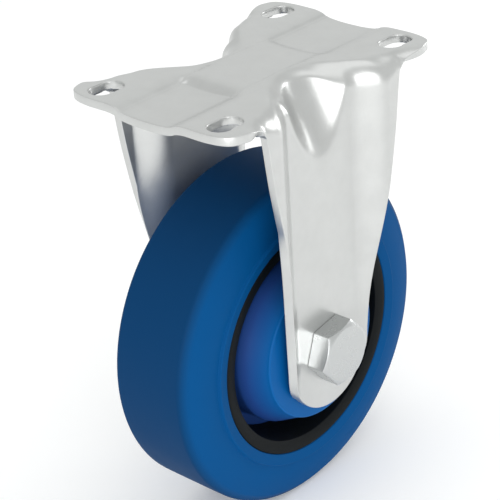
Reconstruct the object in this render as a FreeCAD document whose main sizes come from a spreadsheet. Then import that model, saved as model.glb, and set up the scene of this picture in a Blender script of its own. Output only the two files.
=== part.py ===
import FreeCAD, Part
import math
import os
import Sketcher
from FreeCAD import Placement, Rotation, Vector

# A fixed castor: a pressed steel fork with its top plate, a rubber tyred wheel on two ball
# bearings, and the axle bolt that clamps the legs on the axle tube.
# Frame: origin at the centre of the top plate's upper face, +Z up, X is the rolling
# direction, Y is the axle, and the bolt head is on the -Y side. Millimetres.

SIZES = {
    # pressed sheet
    "sheet_thick": 2.5,
    "bend_radius": 4.5,
    "fork_gap": 40.4,
    # top plate, its slots and its two sunken fields
    "plate_half_length": 42.2,
    "ear_half_width": 30.4,
    "ear_start": 22.5,
    "ear_end": 34.8,
    "ear_corner_radius": 8.6,
    "ear_tip_radius": 2.2,
    "notch_entry_x": 33.4,
    "notch_entry_y": 28.4,
    "notch_radius": 5.0,
    "notch_root_x": 30.2,
    "notch_root_y": 25.3,
    "bend_half_width": 29.4,
    "slot_spacing_x": 69.0,
    "slot_spacing_y": 42.5,
    "slot_width": 6.8,
    "slot_length": 10.4,
    "field_depth": 1.8,
    "field_half_width": 8.8,
    "field_start": 15.0,
    "field_wall": 3.6,
    "field_corner_radius": 4.6,
    "field_wall_angle": 63.0,
    # legs
    "axle_drop": 80.0,
    "leg_end_radius": 15.4,
    "leg_end_below_axle": 3.0,
    "leg_taper": 8.6,
    "leg_hollow": 1.4,
    "leg_hollow_start": 30.0,
    "leg_flare": 1.0,
    "leg_flare_drop": 10.0,
    "flange_step": 5.8,
    "flange_start": 12.5,
    "flange_run": 10.0,
    # bend between the plate and the leg, wide in the middle and tight at the flanges
    "waist_half_width": 9.5,
    "waist_start": 6.0,
    "waist_run": 17.0,
    "middle_bend_depth": 7.5,
    # slanted trough pressed into the corner of plate and leg
    "trough_start": 13.65,
    "trough_top_depth": 3.2,
    "trough_lean": 26.3,
    "trough_radius": 8.5,
    "trough_edge_blend": 1.1,
    "trough_inner_half": 5.0,
    "trough_outer_half": 15.0,
    # tyre
    "wheel_radius": 50.0,
    "wheel_width": 32.0,
    "tread_half_width": 11.4,
    "shoulder_drop": 2.2,
    "shoulder_half_width": 13.4,
    "tread_corner_radius": 3.2,
    "bead_height": 3.5,
    "bead_step": 0.9,
    "bead_slope": 0.6,
    "sidewall_radius": 24.0,
    # black band between the tyre and the wheel centre
    "band_gap": 4.7,
    "band_thick": 3.8,
    "band_half_width": 15.3,
    "band_crown_radius": 6.0,
    # wheel centre
    "rim_thick": 1.2,
    "rim_rise": 2.3,
    "rim_draft": 0.2,
    "web_half_thick": 3.2,
    "web_corner_radius": 0.8,
    "hub_wall": 4.6,
    "hub_flare": 3.9,
    "hub_flare_half_length": 11.0,
    "hub_draft": 0.2,
    "hub_half_length": 19.7,
    "hub_edge_radius": 1.2,
    "hub_shoulder_depth": 2.0,
    # two sealed ball bearings
    "bearing_bore": 15.0,
    "bearing_outside": 35.0,
    "bearing_width": 11.0,
    "bearing_recess": 0.7,
    "ball_share": 0.692,
    "ball_count": 8.0,
    "race_depth": 0.475,
    "race_clearance": 0.03,
    "cage_thick": 1.6,
    "cage_side_wall": 0.9,
    "cage_clearance": 0.08,
    "seal_thick": 0.9,
    "seal_recess": 0.3,
    "seal_clearance": 0.15,
    # axle bolt, lock nut and axle tube
    "bolt_diameter": 10.0,
    "bolt_length": 60.0,
    "bolt_clearance": 0.1,
    "hex_flats": 17.0,
    "head_height": 6.4,
    "hex_chamfer_drop": 1.3,
    "hex_turn": 10.5,
    "nut_height": 10.0,
    "nut_hex_height": 7.0,
    "nut_collar_wall": 1.1,
    "nut_lip": 0.7,
    "bolt_end_chamfer": 1.0,
}

doc = FreeCAD.newDocument("fixed_castor")
sheet = doc.addObject("Spreadsheet::Sheet", "sizes")
for row, (alias, value) in enumerate(SIZES.items(), start=1):
    sheet.set(f"A{row}", alias)
    sheet.set(f"B{row}", str(value))
    sheet.setAlias(f"B{row}", alias)
doc.recompute()


def size(expression):
    """Value of an expression on the sheet's aliases, each written as a bare word."""
    return float(sheet.evalExpression(expression))


def bound(expression):
    """The same expression as another object writes it, with the sheet's name before each alias."""
    words = []
    word = ""
    for letter in expression + " ":
        if letter.isalnum() or letter in "_.":
            word += letter
            continue
        words.append("sizes." + word if word in SIZES else word)
        words.append(letter)
        word = ""
    return "".join(words).strip()


def negative(expression):
    return f"-({expression})"


def origin_plane(body, role):
    for feature in body.Origin.OriginFeatures:
        if feature.Role == role:
            return feature
    raise ValueError(role)


def arc_between(start, end, radius, turn):
    """Arc of the given radius from start to end; turn is +1 where it bends to the left."""
    chord = end - start
    half = chord.Length / 2
    rise = math.sqrt(max(radius * radius - half * half, 0.0))
    side = Vector(-chord.y, chord.x, 0).normalize()
    centre = start + chord / 2 + side * rise * turn
    first = math.atan2(start.y - centre.y, start.x - centre.x)
    last = math.atan2(end.y - centre.y, end.x - centre.x)
    circle = Part.Circle(centre, Vector(0, 0, 1), radius)
    if turn > 0:
        return Part.ArcOfCircle(circle, first, last), 1, 2
    return Part.ArcOfCircle(circle, last, first), 2, 1


def draw(sketch, corners):
    """Closed outline through the corners. A corner is (x, y), reached by a line, or
    (x, y, radius, turn), reached by an arc. Each entry but turn is an expression."""
    places = [Vector(size(corner[0]), size(corner[1]), 0) for corner in corners]
    ends = []
    for index, corner in enumerate(corners):
        start = places[index - 1]
        end = places[index]
        if len(corner) == 2:
            geometry, first, last = Part.LineSegment(start, end), 1, 2
        else:
            geometry, first, last = arc_between(start, end, size(corner[2]), corner[3])
        edge = sketch.addGeometry(geometry, False)
        ends.append((edge, first, last))
    for index, corner in enumerate(corners):
        edge, first, last = ends[index]
        before, _, before_last = ends[index - 1]
        sketch.addConstraint(Sketcher.Constraint("Coincident", before, before_last, edge, first))
        for kind, axis, expression in (("DistanceX", -2, corner[0]), ("DistanceY", -1, corner[1])):
            value = size(expression)
            if abs(value) < 1e-9:
                sketch.addConstraint(Sketcher.Constraint("PointOnObject", edge, last, axis))
                continue
            number = sketch.addConstraint(Sketcher.Constraint(kind, -1, 1, edge, last, value))
            sketch.setExpression(f"Constraints[{number}]", bound(expression))
        if len(corner) > 2:
            number = sketch.addConstraint(Sketcher.Constraint("Radius", edge, size(corner[2])))
            sketch.setExpression(f"Constraints[{number}]", bound(corner[2]))


def new_body(label):
    body = doc.addObject("PartDesign::Body", label)
    body.Label = label
    return body


def new_sketch(body, name, role, corners, lift=None):
    sketch = body.newObject("Sketcher::SketchObject", f"{body.Name}_{name}")
    sketch.AttachmentSupport = (origin_plane(body, role), [""])
    sketch.MapMode = "FlatFace"
    if lift:
        sketch.setExpression(".AttachmentOffset.Base.z", bound(lift))
    draw(sketch, corners)
    doc.recompute()
    return sketch


def revolve(body, name, corners, cut=False):
    """Turn a profile of (radius, height) corners about the body's Z axis."""
    sketch = new_sketch(body, name + "_profile", "XZ_Plane", corners)
    kind = "PartDesign::Groove" if cut else "PartDesign::Revolution"
    feature = body.newObject(kind, f"{body.Name}_{name}")
    feature.Profile = sketch
    feature.ReferenceAxis = (sketch, ["V_Axis"])
    feature.Angle = 360
    doc.recompute()
    return feature


def hexagon(flats):
    """Corners of a hexagon across the given flats, turned by the bolt head's angle."""
    corners = []
    for number in range(6):
        angle = f"(hex_turn + {60 * number}) * 1deg"
        reach = f"{flats} / 2 / cos(30deg)"
        corners.append((f"{reach} * cos({angle})", f"{reach} * sin({angle})"))
    return corners


def pad(body, name, corners, length, lift=None):
    sketch = new_sketch(body, name + "_outline", "XY_Plane", corners, lift)
    feature = body.newObject("PartDesign::Pad", f"{body.Name}_{name}")
    feature.Profile = sketch
    feature.setExpression("Length", bound(length))
    doc.recompute()
    return feature


def on_axle(part, along="0", outwards=1):
    """Place a part on the wheel's axle, its own Z along -Y (outwards 1) or +Y (outwards -1)."""
    part.Placement = Placement(Vector(0, 0, 0), Rotation(Vector(1, 0, 0), 90 * outwards))
    part.setExpression(".Placement.Base.y", bound(f"{-outwards} * ({along})"))
    part.setExpression(".Placement.Base.z", bound("-axle_drop"))
    doc.recompute()
    return part


def mirrored(half):
    """Profile of a part that is the same on both sides of its middle: the half, then its mirror."""
    other = []
    for index in range(len(half) - 1, -1, -1):
        corner = (half[index][0], negative(half[index][1]))
        after = half[index + 1] if index + 1 < len(half) else None
        other.append(corner + tuple(after[2:]) if after and len(after) > 2 else corner)
    return half + other


def ease(value, low, high):
    """Smooth step from 0 at low to 1 at high."""
    part = min(max((value - low) / (high - low), 0.0), 1.0)
    return part * part * (3 - 2 * part)


class Skin:
    """Upper and outer face of the pressed sheet, on the +Y side, as a function of x and of the
    way along the section: over the flat top, around the bend, down the leg."""

    def __init__(self):
        for alias in SIZES:
            setattr(self, alias, size(alias))
        self.panel = self.fork_gap / 2 + self.sheet_thick
        self.flange_bend_start = self.panel + self.flange_step - self.bend_radius
        self.leg_bottom = self.axle_drop + self.leg_end_below_axle + self.leg_end_radius + 2

    def flange(self, x):
        return ease(abs(x), self.flange_start, self.flange_start + self.flange_run)

    def leg_face(self, x, depth):
        """Distance of the leg's outer face from the middle plane: panel, flanges and trough."""
        face = self.panel + self.flange_step * self.flange(x)
        lean = math.tan(math.radians(self.trough_lean))
        trough = self.trough_start + lean * (depth - self.trough_top_depth)
        trough += x * x / (2 * self.trough_radius)
        return 0.5 * (face + trough - math.hypot(face - trough, self.trough_edge_blend))

    def bend_start(self, x):
        run = self.flange_bend_start - self.waist_half_width
        return self.waist_half_width + run * ease(abs(x), self.waist_start,
                                                  self.waist_start + self.waist_run)

    def bend_depth(self, x):
        depth = self.bend_radius + (self.middle_bend_depth - self.bend_radius) * (1 - self.flange(x))
        trough = 1 - ease(abs(x), self.trough_inner_half, self.trough_outer_half)
        return depth + (self.trough_top_depth - self.middle_bend_depth) * trough

    def half_width(self, depth):
        """Half width of the leg: a taper with a small flare above and slightly hollow sides."""
        taper = math.radians(self.leg_taper)
        below = self.axle_drop + self.leg_end_below_axle - depth
        half = self.leg_end_radius / math.cos(taper) + below * math.tan(taper)
        half += self.leg_flare * max(0.0, 1 - depth / self.leg_flare_drop) ** 2
        hollow_end = self.axle_drop + self.leg_end_below_axle
        place = (depth - self.leg_hollow_start) / (hollow_end - self.leg_hollow_start)
        half -= 4 * self.leg_hollow * max(0.0, place * (1 - place))
        share = ease(depth, 0.0, self.bend_radius / 2)
        return self.bend_half_width + (half - self.bend_half_width) * share

    def on_bend(self, across, part):
        """Point on the bend; across runs from -1 to 1 over the width, part from 0 to 1."""
        angle = part * math.pi / 2
        x = across * self.half_width(self.bend_radius * (1 - math.cos(angle)))
        start = self.bend_start(x)
        depth = self.bend_depth(x) * (1 - math.cos(angle))
        return Vector(x, start + (self.leg_face(x, depth) - start) * math.sin(angle), -depth)

    def on_leg(self, across, depth):
        """Point on the leg; depth is measured at the leg's edge, where the bend is tightest."""
        part = (depth - self.bend_radius) / (self.leg_bottom - self.bend_radius)
        x = across * self.half_width(depth)
        depth = self.bend_depth(x) + (self.leg_bottom - self.bend_depth(x)) * part
        return Vector(x, self.leg_face(x, depth), -depth)


def steps(low, high, count):
    return [low + (high - low) * number / count for number in range(1, count + 1)]


def flipped(point, side):
    return Vector(point.x, point.y * side, point.z)


def nearest_edge(face, point):
    probe = Part.Vertex(point)
    return min(face.Edges, key=lambda edge: edge.distToShape(probe)[0])


def smooth_face(poles):
    """Cubic face drawn by a grid of poles, with its rim through the outermost ones."""
    spans = [len(poles) - 3, len(poles[0]) - 3]
    knots = [list(range(span + 1)) for span in spans]
    repeats = [[4] + [1] * (span - 1) + [4] for span in spans]
    surface = Part.BSplineSurface()
    surface.buildFromPolesMultsKnots(poles, repeats[0], repeats[1], knots[0], knots[1],
                                     False, False, 3, 3)
    return surface.toShape()


def plate_edges(skin):
    """Edges of the flat plate at the +X end, from the bend at +Y round both ears to -Y."""
    places = [Vector(skin.bend_half_width, skin.flange_bend_start, 0),
              Vector(skin.notch_root_x, skin.notch_root_y, 0),
              Vector(skin.notch_entry_x, skin.notch_entry_y, 0),
              Vector(skin.ear_end, skin.ear_half_width, 0),
              Vector(skin.plate_half_length, skin.ear_start, 0)]
    bows = [(0, 0), (skin.notch_radius, 1), (skin.ear_tip_radius, -1),
            (skin.ear_corner_radius, -1)]
    edges = [Part.makeLine(flipped(places[-1], -1), places[-1])]
    for (start, end), (radius, turn) in zip(zip(places, places[1:]), bows):
        for side in (1, -1):
            ends = flipped(start, side), flipped(end, side)
            if radius:
                edges.append(arc_between(*ends, radius, turn * side)[0].toShape())
            else:
                edges.append(Part.makeLine(*ends))
    return edges


def ease_folds(grid, rows):
    """Average the inner face along the bend, where it is tighter than the sheet is thick."""
    for _ in range(4):
        for place in range(1, rows):
            line = [column[place] for column in grid]
            for number in range(1, len(line) - 1):
                grid[number][place] = (line[number - 1] + line[number] * 2 + line[number + 1]) / 4


def pressed_sheet():
    """Solid of the folded sheet: flat plate with ears, two bends, two legs."""
    skin = Skin()
    drop = Vector(0, 0, -skin.sheet_thick)
    columns = [-1.0] + steps(-1.0, 1.0, 48)
    bend_parts = [0.0] + steps(0.0, 1.0, 10)
    lean = math.tan(math.radians(skin.trough_lean))
    trough_end = skin.trough_top_depth + (skin.panel - skin.trough_start) / lean + 3
    depths = steps(skin.bend_radius, trough_end, 14) + steps(trough_end, skin.leg_bottom, 4)
    half = []
    for across in columns:
        half.append([skin.on_bend(across, part) for part in bend_parts]
                    + [skin.on_leg(across, depth) for depth in depths])
    behind = []
    for number, row in enumerate(half):
        back = [row[0] + drop]
        for place in range(1, len(row)):
            along = row[min(place + 1, len(row) - 1)] - row[place - 1]
            near = half[max(number - 1, 0)][place]
            far = half[min(number + 1, len(half) - 1)][place]
            normal = along.cross(far - near).normalize()
            if normal.y + normal.z < 0:
                normal = -normal
            back.append(row[place] - normal * skin.sheet_thick)
        behind.append(back)
    ease_folds(behind, len(bend_parts))
    faces = []
    rims = []
    for side in (1, -1):
        pair = []
        for grid in (half, behind):
            pair.append(smooth_face([[flipped(point, side) for point in row] for row in grid]))
        faces += pair
        middle = len(columns) // 2
        rows = [([row[0] for row in half], [row[0] for row in behind]),
                (half[0], behind[0]), (half[-1], behind[-1]),
                ([row[-1] for row in half], [row[-1] for row in behind])]
        for number, (front, back) in enumerate(rows):
            outer = nearest_edge(pair[0], flipped(front[len(front) // 2], side))
            inner = nearest_edge(pair[1], flipped(back[len(back) // 2], side))
            if number == 0:
                rims.append((outer, inner))
            else:
                faces.append(Part.makeRuledSurface(outer, inner))
    outline = plate_edges(skin)
    outline += [edge.mirror(Vector(0, 0, 0), Vector(1, 0, 0)) for edge in outline]
    faces += [edge.extrude(drop) for edge in outline]
    for number in (0, 1):
        loop = [edge.translated(drop * number) for edge in outline]
        loop += [pair[number] for pair in rims]
        plane = Part.Plane(drop * number, Vector(0, 0, 1))
        faces.append(Part.Face(plane, Part.Wire(Part.sortEdges(loop)[0])))
    shell = Part.makeShell(faces)
    shell.sewShape()
    solid = Part.Solid(shell)
    if solid.Volume < 0:
        solid.reverse()
    return solid


def loose_sketch(name, corners, rotation=None):
    sketch = doc.addObject("Sketcher::SketchObject", name)
    if rotation:
        sketch.Placement = Placement(Vector(0, 0, 0), rotation)
    draw(sketch, corners)
    doc.recompute()
    return sketch


def prism(name, sketch, forward, backward):
    """Solid swept from a sketch both ways along its normal."""
    solid = doc.addObject("Part::Extrusion", name)
    solid.Base = sketch
    solid.DirMode = "Custom"
    solid.Dir = sketch.Placement.Rotation.multVec(Vector(0, 0, 1))
    solid.Solid = True
    solid.setExpression("LengthFwd", bound(forward))
    solid.setExpression("LengthRev", bound(backward))
    doc.recompute()
    return solid


def cylinder(name, radius, height, x, y, z, rotation=None):
    solid = doc.addObject("Part::Cylinder", name)
    solid.setExpression("Radius", bound(radius))
    solid.setExpression("Height", bound(height))
    solid.Placement = Placement(Vector(0, 0, 0), rotation or Rotation())
    for axis, expression in (("x", x), ("y", y), ("z", z)):
        solid.setExpression(f".Placement.Base.{axis}", bound(expression))
    return solid


def joined(name, shapes):
    solid = doc.addObject("Part::MultiFuse", name)
    solid.Shapes = shapes
    doc.recompute()
    return solid


# fork: pressed sheet with sunken fields, slots, rounded leg ends and the bore for the axle
formed = doc.addObject("Part::Feature", "formed_sheet")
formed.Shape = pressed_sheet()

end_outline = loose_sketch("leg_end_outline", [
    ("-leg_end_radius * cos(leg_taper * 1deg)",
     "-axle_drop - leg_end_below_axle - leg_end_radius * sin(leg_taper * 1deg)"),
    ("0", "-axle_drop - leg_end_below_axle - leg_end_radius", "leg_end_radius", 1),
    ("leg_end_radius * cos(leg_taper * 1deg)",
     "-axle_drop - leg_end_below_axle - leg_end_radius * sin(leg_taper * 1deg)",
     "leg_end_radius", 1),
    ("2 * leg_end_radius", "-axle_drop - leg_end_radius / 2 - leg_end_below_axle"),
    ("2 * leg_end_radius", "-axle_drop - 2 * leg_end_radius - leg_end_below_axle"),
    ("-2 * leg_end_radius", "-axle_drop - 2 * leg_end_radius - leg_end_below_axle"),
    ("-2 * leg_end_radius", "-axle_drop - leg_end_radius / 2 - leg_end_below_axle"),
], Rotation(Vector(1, 0, 0), 90))
end_cutter = prism("leg_end_cutter", end_outline, "fork_gap", "fork_gap")

# sunken fields at both ends of the plate, pressed down by less than the sheet's thickness
field_tools = []
field_bosses = []
for along in (1, -1):
    word = "front" if along > 0 else "rear"
    wide = "field_half_width + field_wall"
    corners = [
        ("field_start", f"-({wide}) + field_corner_radius"),
        ("field_start + field_corner_radius", f"-({wide})", "field_corner_radius", along),
        ("plate_half_length + 3 * sheet_thick", f"-({wide})"),
        ("plate_half_length + 3 * sheet_thick", wide),
        ("field_start + field_corner_radius", wide),
        ("field_start", f"{wide} - field_corner_radius", "field_corner_radius", along),
    ]
    signed = [(f"{along} * ({c[0]})", c[1]) + tuple(c[2:]) for c in corners]
    for use, lift in (("pocket", "0"), ("boss", "-sheet_thick")):
        sketch = loose_sketch(f"{word}_field_{use}_outline", signed)
        sketch.setExpression(".Placement.Base.z", bound(lift))
        solid = prism(f"{word}_field_{use}", sketch, "0", "field_depth")
        solid.setExpression("TaperAngleRev", bound("-1deg * field_wall_angle"))
        (field_tools if use == "pocket" else field_bosses).append(solid)
plate_outline = loose_sketch("plate_outline", [
    ("plate_half_length", "-slot_spacing_y / 2"),
    ("plate_half_length", "slot_spacing_y / 2"),
    ("-plate_half_length", "slot_spacing_y / 2"),
    ("-plate_half_length", "-slot_spacing_y / 2"),
])
plate_prism = prism("plate_prism", plate_outline, "0", "3 * sheet_thick")
bosses = []
for boss in field_bosses:
    bosses.append(doc.addObject("Part::MultiCommon", f"{boss.Name}_trimmed"))
    bosses[-1].Shapes = [boss, plate_prism]
doc.recompute()
blank = joined("blank", [formed] + bosses)

tools = [end_cutter] + field_tools
reach = "fork_gap + 4 * sheet_thick"
for along in (1, -1):
    for across in (1, -1):
        name = f"slot_{'front' if along > 0 else 'rear'}_{'left' if across > 0 else 'right'}"
        middle_x = f"{along} * slot_spacing_x / 2"
        middle_y = f"{across} * slot_spacing_y / 2"
        travel = "(slot_length - slot_width) / 2"
        for end in (1, -1):
            tools.append(cylinder(f"{name}_{'far' if end > 0 else 'near'}", "slot_width / 2",
                                  "4 * sheet_thick", f"{middle_x} + {end} * {travel}", middle_y,
                                  "-2 * sheet_thick"))
        box = doc.addObject("Part::Box", name + "_middle")
        box.setExpression("Length", bound("slot_length - slot_width"))
        box.setExpression("Width", bound("slot_width"))
        box.setExpression("Height", bound("4 * sheet_thick"))
        box.setExpression(".Placement.Base.x", bound(f"{middle_x} - {travel}"))
        box.setExpression(".Placement.Base.y", bound(f"{middle_y} - slot_width / 2"))
        box.setExpression(".Placement.Base.z", bound("-2 * sheet_thick"))
        tools.append(box)
tools.append(cylinder("axle_bore", "bolt_diameter / 2 + bolt_clearance", reach,
                      "0", f"({reach}) / 2", "-axle_drop", Rotation(Vector(1, 0, 0), 90)))
fork = doc.addObject("Part::Cut", "fork_bracket")
fork.Base = blank
fork.Tool = joined("cutters", tools)
doc.recompute()

# wheel: tyre, black band, wheel centre, each sized outwards from the bearing's outside
hub = "(bearing_outside / 2 + hub_wall)"
root = f"({hub} + hub_flare)"
band_inner = f"({root} + band_gap)"
band_outer = f"({band_inner} + band_thick)"
bead = f"({band_outer} + bead_height)"
tyre = new_body("tyre")
revolve(tyre, "ring", mirrored([
    ("wheel_radius", "tread_half_width"),
    ("wheel_radius - shoulder_drop", "shoulder_half_width", "tread_corner_radius", 1),
    (bead, "wheel_width / 2 - bead_step", "sidewall_radius", 1),
    (f"{bead} - bead_step / 2", "wheel_width / 2"),
    (band_outer, "wheel_width / 2 - bead_slope"),
]))
on_axle(tyre)

band = new_body("rim_band")
revolve(band, "ring", mirrored([
    (band_outer, "band_half_width"),
    (band_inner, "band_half_width - bead_slope", "band_crown_radius", 1),
]))
on_axle(band)

inside_rim = f"{band_inner} - rim_thick"
foot = f"{root} + hub_draft"
rim_top = "web_half_thick + rim_rise"
seat = "hub_half_length - bearing_recess - bearing_width"
centre = new_body("wheel_centre")
revolve(centre, "disc", mirrored([
    (band_inner, rim_top),
    (inside_rim, rim_top),
    (f"{inside_rim} - rim_draft", "web_half_thick + web_corner_radius"),
    (f"{inside_rim} - rim_draft - web_corner_radius", "web_half_thick", "web_corner_radius", -1),
    (f"{foot} + web_corner_radius", "web_half_thick"),
    (foot, "web_half_thick + web_corner_radius", "web_corner_radius", -1),
    (root, "hub_flare_half_length"),
    (hub, "hub_half_length - hub_edge_radius"),
    (f"{hub} - hub_edge_radius", "hub_half_length", "hub_edge_radius", 1),
    ("bearing_outside / 2", "hub_half_length"),
    ("bearing_outside / 2", seat),
    ("bearing_outside / 2 - hub_shoulder_depth", seat),
]))
on_axle(centre)

# two sealed ball bearings, head side and nut side
pitch = "(bearing_bore + bearing_outside) / 4"
ball_radius = "ball_share * (bearing_width / 2 - seal_recess - seal_thick)"
land = f"{ball_radius} - race_depth"
race = f"{ball_radius} + race_clearance"
half_race = f"sqrt(({race}) ^ 2 - ({land}) ^ 2)"
bearing_middle = "hub_half_length - bearing_recess - bearing_width / 2"
cage_half = f"{ball_radius} + cage_clearance + cage_side_wall"
seal_place = "bearing_width / 2 - seal_recess - seal_thick"
for side, outwards in (("head_side", 1), ("nut_side", -1)):
    outer_ring = new_body(f"{side}_outer_ring")
    revolve(outer_ring, "ring", [
        ("bearing_outside / 2", "bearing_width / 2"),
        (f"{pitch} + {land}", "bearing_width / 2"),
        (f"{pitch} + {land}", half_race),
        (f"{pitch} + {land}", negative(half_race), race, -1),
        (f"{pitch} + {land}", "-bearing_width / 2"),
        ("bearing_outside / 2", "-bearing_width / 2"),
    ])
    inner_ring = new_body(f"{side}_inner_ring")
    revolve(inner_ring, "ring", [
        (f"{pitch} - ({land})", "bearing_width / 2"),
        ("bearing_bore / 2", "bearing_width / 2"),
        ("bearing_bore / 2", "-bearing_width / 2"),
        (f"{pitch} - ({land})", "-bearing_width / 2"),
        (f"{pitch} - ({land})", negative(half_race)),
        (f"{pitch} - ({land})", half_race, race, -1),
    ])
    for name, lift in (("outer_seal", seal_place), ("inner_seal", f"-({seal_place}) - seal_thick")):
        seal = new_body(f"{side}_{name}")
        revolve(seal, "disc", [
            (f"{pitch} + {land}", f"{lift} + seal_thick"),
            (f"{pitch} - ({land}) + seal_clearance", f"{lift} + seal_thick"),
            (f"{pitch} - ({land}) + seal_clearance", lift),
            (f"{pitch} + {land}", lift),
        ])
        on_axle(seal, bearing_middle, outwards)
    cage = new_body(f"{side}_cage")
    revolve(cage, "ring", mirrored([
        (f"{pitch} + cage_thick / 2", cage_half),
        (f"{pitch} - cage_thick / 2", cage_half),
    ]))
    pocket_sketch = cage.newObject("Sketcher::SketchObject", f"{cage.Name}_pocket_circle")
    pocket_sketch.AttachmentSupport = (origin_plane(cage, "YZ_Plane"), [""])
    pocket_sketch.MapMode = "FlatFace"
    opening = size(f"{ball_radius} + cage_clearance")
    pocket_sketch.addGeometry(Part.Circle(Vector(0, 0, 0), Vector(0, 0, 1), opening), False)
    pocket_sketch.addConstraint(Sketcher.Constraint("Coincident", 0, 3, -1, 1))
    number = pocket_sketch.addConstraint(Sketcher.Constraint("Radius", 0, opening))
    pocket_sketch.setExpression(f"Constraints[{number}]",
                                bound(f"{ball_radius} + cage_clearance"))
    pocket = cage.newObject("PartDesign::Pocket", f"{cage.Name}_pocket")
    pocket.Profile = pocket_sketch
    pocket.setExpression("Length", bound("bearing_outside"))
    pocket.Reversed = True
    doc.recompute()
    ring_of_pockets = cage.newObject("PartDesign::PolarPattern", f"{cage.Name}_pockets")
    ring_of_pockets.Originals = [pocket]
    ring_of_pockets.Axis = (origin_plane(cage, "XY_Plane"), [""])
    for feature in cage.Origin.OriginFeatures:
        if feature.Role == "Z_Axis":
            ring_of_pockets.Axis = (feature, [""])
    ring_of_pockets.Angle = 360
    ring_of_pockets.setExpression("Occurrences", bound("ball_count"))
    cage.Tip = ring_of_pockets
    doc.recompute()
    for part in (outer_ring, inner_ring, cage):
        on_axle(part, bearing_middle, outwards)

    balls = []
    for number in range(int(size("ball_count"))):
        ball = doc.addObject("Part::Sphere", f"{side}_ball_{number + 1}")
        ball.setExpression("Radius", bound(ball_radius))
        turn = f"360deg * {number} / ball_count"
        ball.setExpression(".Placement.Base.x", bound(f"({pitch}) * cos({turn})"))
        ball.setExpression(".Placement.Base.y", bound(f"{-outwards} * ({bearing_middle})"))
        ball.setExpression(".Placement.Base.z",
                           bound(f"{outwards} * ({pitch}) * sin({turn}) - axle_drop"))
        balls.append(ball)

# axle: tube between the legs, bolt, lock nut with its plastic insert
tube = new_body("axle_tube")
revolve(tube, "tube", mirrored([
    ("bearing_bore / 2", "fork_gap / 2"),
    ("bolt_diameter / 2 + bolt_clearance", "fork_gap / 2"),
]))
on_axle(tube)

corner = "hex_flats / 2 / cos(30deg)"
chamfer_run = f"{corner} - hex_flats / 2 + 0.2"
bolt = new_body("axle_bolt")
pad(bolt, "head", hexagon("hex_flats"), "head_height")
revolve(bolt, "head_chamfer", [
    (f"{corner} - ({chamfer_run}) - 0.6", "head_height"),
    (f"{corner} + 1", "head_height - hex_chamfer_drop - 0.6"),
    (f"{corner} + 1", "head_height + 1"),
    (f"{corner} - ({chamfer_run}) - 0.6", "head_height + 1"),
], cut=True)
revolve(bolt, "shank", [
    ("bolt_diameter / 2", "0.5"),
    ("0", "0.5"),
    ("0", "-bolt_length"),
    ("bolt_diameter / 2 - bolt_end_chamfer", "-bolt_length"),
    ("bolt_diameter / 2", "-bolt_length + bolt_end_chamfer"),
])
on_axle(bolt, "fork_gap / 2 + sheet_thick", 1)

nut = new_body("lock_nut")
collar = "hex_flats / 2 - 0.6"
insert_outer = f"{collar} - nut_collar_wall"
pad(nut, "hex", hexagon("hex_flats"), "nut_hex_height")
for name, base, way in (("outer_chamfer", "nut_hex_height", 1), ("inner_chamfer", "0", -1)):
    revolve(nut, name, [
        ("hex_flats / 2 - 0.1", base),
        (f"{corner} + 1", f"{base} - {way} * hex_chamfer_drop"),
        (f"{corner} + 1", f"{base} + {way}"),
        ("hex_flats / 2 - 0.1", f"{base} + {way}"),
    ], cut=True)
revolve(nut, "collar", [
    (collar, "nut_height - 1.2"),
    (f"{collar} - 1.2", "nut_height", "1.2", 1),
    ("0", "nut_height"),
    ("0", "nut_hex_height - 1"),
    (collar, "nut_hex_height - 1"),
])
revolve(nut, "bore", [
    ("bolt_diameter / 2", "-1"),
    ("bolt_diameter / 2", "nut_hex_height - 0.4"),
    (insert_outer, "nut_hex_height - 0.4"),
    (insert_outer, "nut_height - nut_lip"),
    (f"{insert_outer} - 0.6", "nut_height - nut_lip"),
    (f"{insert_outer} - 0.6", "nut_height + 1"),
    ("0", "nut_height + 1"),
    ("0", "-1"),
], cut=True)
on_axle(nut, "fork_gap / 2 + sheet_thick", -1)

insert = new_body("nut_insert")
revolve(insert, "ring", [
    (insert_outer, "nut_height - nut_lip"),
    ("bolt_diameter / 2", "nut_height - nut_lip"),
    ("bolt_diameter / 2", "nut_hex_height - 0.4"),
    (insert_outer, "nut_hex_height - 0.4"),
])
on_axle(insert, "fork_gap / 2 + sheet_thick", -1)

# write one file for each separate piece
doc.recompute()
names = ["fork_bracket", "tyre", "rim_band", "wheel_centre", "axle_tube", "axle_bolt", "lock_nut",
         "nut_insert"]
for side in ("head_side", "nut_side"):
    names += [f"{side}_{part}" for part in ("outer_ring", "inner_ring", "outer_seal",
                                            "inner_seal", "cage")]
    names += [f"{side}_ball_{number + 1}" for number in range(int(size("ball_count")))]
for item in doc.Objects:
    if "Invalid" in item.State or "Error" in item.State:
        raise RuntimeError(f"{item.Label} did not build: {item.State}")
for name in names:
    shape = doc.getObject(name).Shape
    if shape.isNull() or not shape.isValid() or len(shape.Solids) != 1:
        raise RuntimeError(f"{name} is not one valid solid")
os.makedirs("parts", exist_ok=True)
for name in names:
    doc.getObject(name).Shape.exportStep(f"parts/{name}.step")
    print(name, round(doc.getObject(name).Shape.Volume, 1))
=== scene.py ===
"""Looks of the fixed castor: finishes, pressed fork, tyred wheel, fasteners, light and camera."""

import math

import bmesh
import bpy
import numpy as np
from mathutils import Matrix, Vector, geometry


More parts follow.
